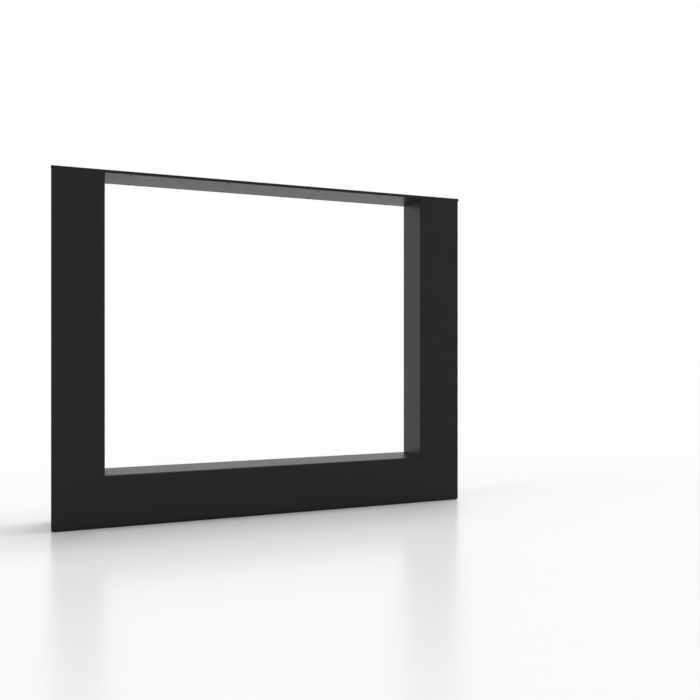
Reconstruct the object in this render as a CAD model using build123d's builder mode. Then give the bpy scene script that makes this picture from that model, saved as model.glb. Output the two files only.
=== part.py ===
from build123d import *
import os

# A welded steel table leg: two square tubes stand on a third, joined by mitred corners,
# and a flat plate lies along their tops to take the table top.
# Millimetres. X runs along the leg, Y through it, Z up. The origin is on the floor,
# in the middle of the leg's footprint.

# Overall sizes
leg_width = 900.0
leg_height = 720.0
leg_depth = 100.0

# Tubes
upright_width = 100.0
bar_height = 105.5
tube_wall = 2.0
tube_corner_radius = 4.5

# Top plate
plate_thickness = 6.0
plate_edge_break = 0.15

# Screw holes in the plate, in equal steps between the uprights
screw_hole_diameter = 7.0
holes_in_a_row = 4
rows_of_holes = 2
end_hole_to_upright = 50.0
hole_to_plate_edge = 10.0

# Places that follow from the sizes above
upright_centre = leg_width / 2 - upright_width / 2
plate_underside = leg_height - plate_thickness
inner_corner_radius = tube_corner_radius - tube_wall
clear_width = leg_width - 2 * upright_width
hole_pitch = (clear_width - 2 * end_hole_to_upright) / (holes_in_a_row - 1)
row_spacing = (leg_depth - 2 * hole_to_plate_edge) / (rows_of_holes - 1)


def tube_bore(side, depth):
    """The hollow of a cold-formed tube of this outer size, drawn in the open sketch."""
    RectangleRounded(side - 2 * tube_wall, depth - 2 * tube_wall, inner_corner_radius)


def mitre_plane(side):
    """The cut from a lower outer corner up to the inner corner; side is -1 left, 1 right.
    It starts at the centre of the outer corner's rounding, and its normal points to the upright."""
    return Plane(
        origin=(side * (leg_width / 2 - tube_corner_radius), 0, tube_corner_radius),
        x_dir=(0, 1, 0),
        z_dir=(side * (bar_height - tube_corner_radius), 0, upright_width - tube_corner_radius),
    )


# The outside of the three tubes together: the rounded corners of the uprights and the bar,
# and the welded mitre edges, which are ground round to run on from them
with BuildPart() as ground_outline:
    with BuildSketch():
        Rectangle(leg_width, leg_depth)
    extrude(amount=leg_height)
    top_edges = ground_outline.faces().sort_by(Axis.Z)[-1].edges()
    fillet(ground_outline.edges() - top_edges, tube_corner_radius)


# Left upright: square tube, sawn square at the plate and mitred at the floor
with BuildPart() as left_upright:
    add(ground_outline.part)
    split(bisect_by=Plane.YZ.offset(-clear_width / 2), keep=Keep.BOTTOM)
    split(bisect_by=Plane.XY.offset(plate_underside), keep=Keep.BOTTOM)
    split(bisect_by=mitre_plane(-1), keep=Keep.TOP)
    inner_corners = left_upright.edges().filter_by(Axis.Z).group_by(Axis.X)[-1]
    fillet(inner_corners, tube_corner_radius)
    with BuildSketch():
        with Locations((-upright_centre, 0)):
            tube_bore(upright_width, leg_depth)
    extrude(amount=plate_underside, mode=Mode.SUBTRACT)

# Right upright: the same tube, cut to the other hand
with BuildPart() as right_upright:
    mirror(left_upright.part, about=Plane.YZ)

# Bottom bar: tube of the same depth, mitred at both ends, flat on the floor
with BuildPart() as bottom_bar:
    add(ground_outline.part)
    split(bisect_by=Plane.XY.offset(bar_height), keep=Keep.BOTTOM)
    split(bisect_by=mitre_plane(-1), keep=Keep.BOTTOM)
    split(bisect_by=mitre_plane(1), keep=Keep.BOTTOM)
    upper_corners = bottom_bar.edges().filter_by(Axis.X).group_by(Axis.Z)[-1]
    fillet(upper_corners, tube_corner_radius)
    with BuildSketch(Plane.YZ.offset(-leg_width / 2)):
        with Locations((0, bar_height / 2)):
            tube_bore(leg_depth, bar_height)
    extrude(amount=leg_width, mode=Mode.SUBTRACT)

# Top plate: flat steel over both uprights and the gap between them, flush with the tubes,
# its cut edges broken, with two rows of plain holes for wood screws
with BuildPart() as top_plate:
    with BuildSketch(Plane.XY.offset(plate_underside)):
        Rectangle(leg_width, leg_depth)
    extrude(amount=plate_thickness)
    chamfer(top_plate.edges(), plate_edge_break)
    with Locations((0, 0, leg_height)):
        with GridLocations(hole_pitch, row_spacing, holes_in_a_row, rows_of_holes):
            Hole(screw_hole_diameter / 2)


os.makedirs("parts", exist_ok=True)
pieces = {
    "left_upright": left_upright,
    "right_upright": right_upright,
    "bottom_bar": bottom_bar,
    "top_plate": top_plate,
}
for piece_name, piece in pieces.items():
    piece.part.label = piece_name
    export_step(piece.part, f"parts/{piece_name}.step")
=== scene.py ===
import math

import bpy
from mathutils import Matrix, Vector

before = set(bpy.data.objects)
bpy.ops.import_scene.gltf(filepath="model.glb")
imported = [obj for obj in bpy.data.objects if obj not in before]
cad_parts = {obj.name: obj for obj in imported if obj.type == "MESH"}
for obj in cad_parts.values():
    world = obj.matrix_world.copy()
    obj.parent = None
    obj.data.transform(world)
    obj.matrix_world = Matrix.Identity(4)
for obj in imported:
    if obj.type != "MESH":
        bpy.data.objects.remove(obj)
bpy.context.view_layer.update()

# The bottom bar
# A length of square steel tube, mitred at both ends, which lies flat on the floor. The whole
# frame is sprayed with black powder after welding and baked, so all its pieces share one coat.


def add_node(tree, kind, links=None, **settings):
    """One shader node: what it is set to, and what feeds its inputs, by the input's name or number."""
    node = tree.nodes.new(kind)
    for name, value in settings.items():
        setattr(node, name, value)
    for socket, source in (links or {}).items():
        if isinstance(source, bpy.types.NodeSocket):
            tree.links.new(source, node.inputs[socket])
        else:
            node.inputs[socket].default_value = source
    return node


def linear(hex_colour):
    """An sRGB hex colour as the linear red, green, blue and alpha that a shader takes."""
    parts = [int(hex_colour[i:i + 2], 16) / 255 for i in (1, 3, 5)]
    return [p / 12.92 if p <= 0.04045 else ((p + 0.055) / 1.055) ** 2.4 for p in parts] + [1.0]


def noise(tree, where, pattern_mm, detail):
    """A soft noise from 0 to 1, on coordinates in metres, that repeats about every pattern_mm."""
    pattern = add_node(tree, "ShaderNodeTexNoise",
                       {"Vector": where, "Scale": 1000.0 / pattern_mm, "Detail": detail})
    return pattern.outputs["Fac"]


def satin_black_powder_coat(name):
    """Polyester powder coat, sprayed and baked. Matting agents in it cut its gloss to a satin
    that is nearly black face on and grey at a low angle. Its melt flows out into a faint orange peel."""
    material = bpy.data.materials.new(name)
    material.use_nodes = True
    tree = material.node_tree
    tree.nodes.clear()
    where = add_node(tree, "ShaderNodeTexCoord").outputs["Object"]

    # Film thickness drifts over a hand's breadth, and the black with it
    drift_mm = 90
    first_colour, second_colour, mixed_colour = 6, 7, 2  # the mix node's colour sockets
    black = add_node(tree, "ShaderNodeMix",
                     {"Factor": noise(tree, where, drift_mm, 3.0),
                      first_colour: linear("#1f1f20"), second_colour: linear("#222223")},
                     data_type="RGBA")

    # The matting is uneven by a little, in patches of some 12 mm
    patch_mm = 12
    glossiest, mattest = 0.31, 0.37
    matting = add_node(tree, "ShaderNodeMapRange",
                       {"Value": noise(tree, where, patch_mm, 4.0), "From Min": 0.3, "From Max": 0.7,
                        "To Min": glossiest, "To Max": mattest})

    # Orange peel: waves about 3 mm long and a few thousandths of a millimetre high
    wave_mm = 3
    noise_height = 0.00001
    waves = add_node(tree, "ShaderNodeBump",
                     {"Height": noise(tree, where, wave_mm, 1.0), "Strength": 1.0,
                      "Distance": noise_height})

    # The resin's index is 1.5, but the matting agents leave a third of its mirror gloss
    matted_gloss = 0.16
    coat = add_node(tree, "ShaderNodeBsdfPrincipled",
                    {"Base Color": black.outputs[mixed_colour], "Roughness": matting.outputs["Result"],
                     "Normal": waves.outputs["Normal"], "IOR": 1.5, "Specular IOR Level": matted_gloss})
    add_node(tree, "ShaderNodeOutputMaterial", {"Surface": coat.outputs["BSDF"]})
    return material


def dress(node, material):
    """Puts a finish on a piece that the frame already holds."""
    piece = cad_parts[node]
    for place in piece.material_slots:
        place.material = material


coat = satin_black_powder_coat("satin_black_powder_coat")
dress("bottom_bar", coat)

# The two uprights
# The same tube, sawn square under the plate and mitred onto the bar. The welds at the mitres
# are ground flush before coating, so the tube's faces run on round the corner unbroken.

for upright in ("left_upright", "right_upright"):
    dress(upright, coat)

# The top plate
# Flat steel bar laid over both uprights and welded to them, with eight plain holes drilled
# through it for the screws into the table top. Its cut edges are only broken, so they stay crisp.

dress("top_plate", coat)

# The floor
# A plain white studio floor, lightly polished, so that it keeps a soft shadow and a blurred
# reflection under the leg. It isn't part of the object.

floor_reach = 30.0
floor_drop = 0.0002
floor_polish = 0.23
floor_mesh = bpy.data.meshes.new("studio_floor")
floor_mesh.from_pydata(
    [(x * floor_reach, y * floor_reach, -floor_drop) for x, y in ((-1, -1), (1, -1), (1, 1), (-1, 1))],
    [], [(0, 1, 2, 3)])
studio_floor = bpy.data.objects.new("studio_floor", floor_mesh)
bpy.context.scene.collection.objects.link(studio_floor)
white_lacquer = bpy.data.materials.new("polished_white_lacquer")
white_lacquer.use_nodes = True
tree = white_lacquer.node_tree
tree.nodes.clear()
lacquer = add_node(tree, "ShaderNodeBsdfPrincipled",
                   {"Base Color": linear("#fdfdfd"), "Roughness": floor_polish, "IOR": 1.5})
add_node(tree, "ShaderNodeOutputMaterial", {"Surface": lacquer.outputs["BSDF"]})
floor_mesh.materials.append(white_lacquer)

# The light
# A white tent all round, seen in full in every reflection, gives a third of the light. Three soft
# lamps, nearly overhead and low to the left and right, give the rest and the shadow at the foot.

tent_on_matt_surfaces = 0.35
tent = bpy.data.worlds.new("white_tent")
bpy.context.scene.world = tent
tent.use_nodes = True
tree = tent.node_tree
tree.nodes.clear()
path = add_node(tree, "ShaderNodeLightPath")
seen = add_node(tree, "ShaderNodeMath",
                {0: path.outputs["Is Camera Ray"], 1: path.outputs["Is Glossy Ray"]}, operation="MAXIMUM")
seen = add_node(tree, "ShaderNodeMath",
                {0: seen.outputs[0], 1: path.outputs["Is Transmission Ray"]}, operation="MAXIMUM")
brightness = add_node(tree, "ShaderNodeMapRange",
                      {"Value": seen.outputs[0], "To Min": tent_on_matt_surfaces, "To Max": 1.0})
paper = add_node(tree, "ShaderNodeBackground",
                 {"Color": linear("#fefefe"), "Strength": brightness.outputs["Result"]})
add_node(tree, "ShaderNodeOutputWorld", {"Surface": paper.outputs["Background"]})

# Each lamp: the way to it from the leg, the degrees that it spans, and its strength
for name, towards, span, strength in (
        ("lamp_overhead", (0.14, 0.10, 0.985), 24, 1.12),
        ("lamp_left", (-0.866, 0.0, 0.5), 30, 0.55),
        ("lamp_right", (0.866, 0.0, 0.5), 20, 1.20)):
    lamp = bpy.data.lights.new(name, "SUN")
    lamp.angle = math.radians(span)
    lamp.energy = strength
    soft_lamp = bpy.data.objects.new(name, lamp)
    soft_lamp.rotation_euler = Vector(towards).to_track_quat("Z", "Y").to_euler()
    bpy.context.scene.collection.objects.link(soft_lamp)

# The camera
# It stands 1.6 m from the leg, in front of its left half, at half the leg's height. It is level and
# turned to the right, with a lens as long as its picture is wide.

picture_mm = 36.0
turned_right = 20
lens = bpy.data.cameras.new("camera")
lens.sensor_width = picture_mm
lens.lens = picture_mm
camera = bpy.data.objects.new("camera", lens)
camera.location = (-0.3683, -1.5379, 0.3578)
camera.rotation_euler = (math.radians(90), 0, math.radians(-turned_right))
bpy.context.scene.collection.objects.link(camera)
bpy.context.scene.camera = camera
bpy.context.scene.view_settings.view_transform = "Standard"
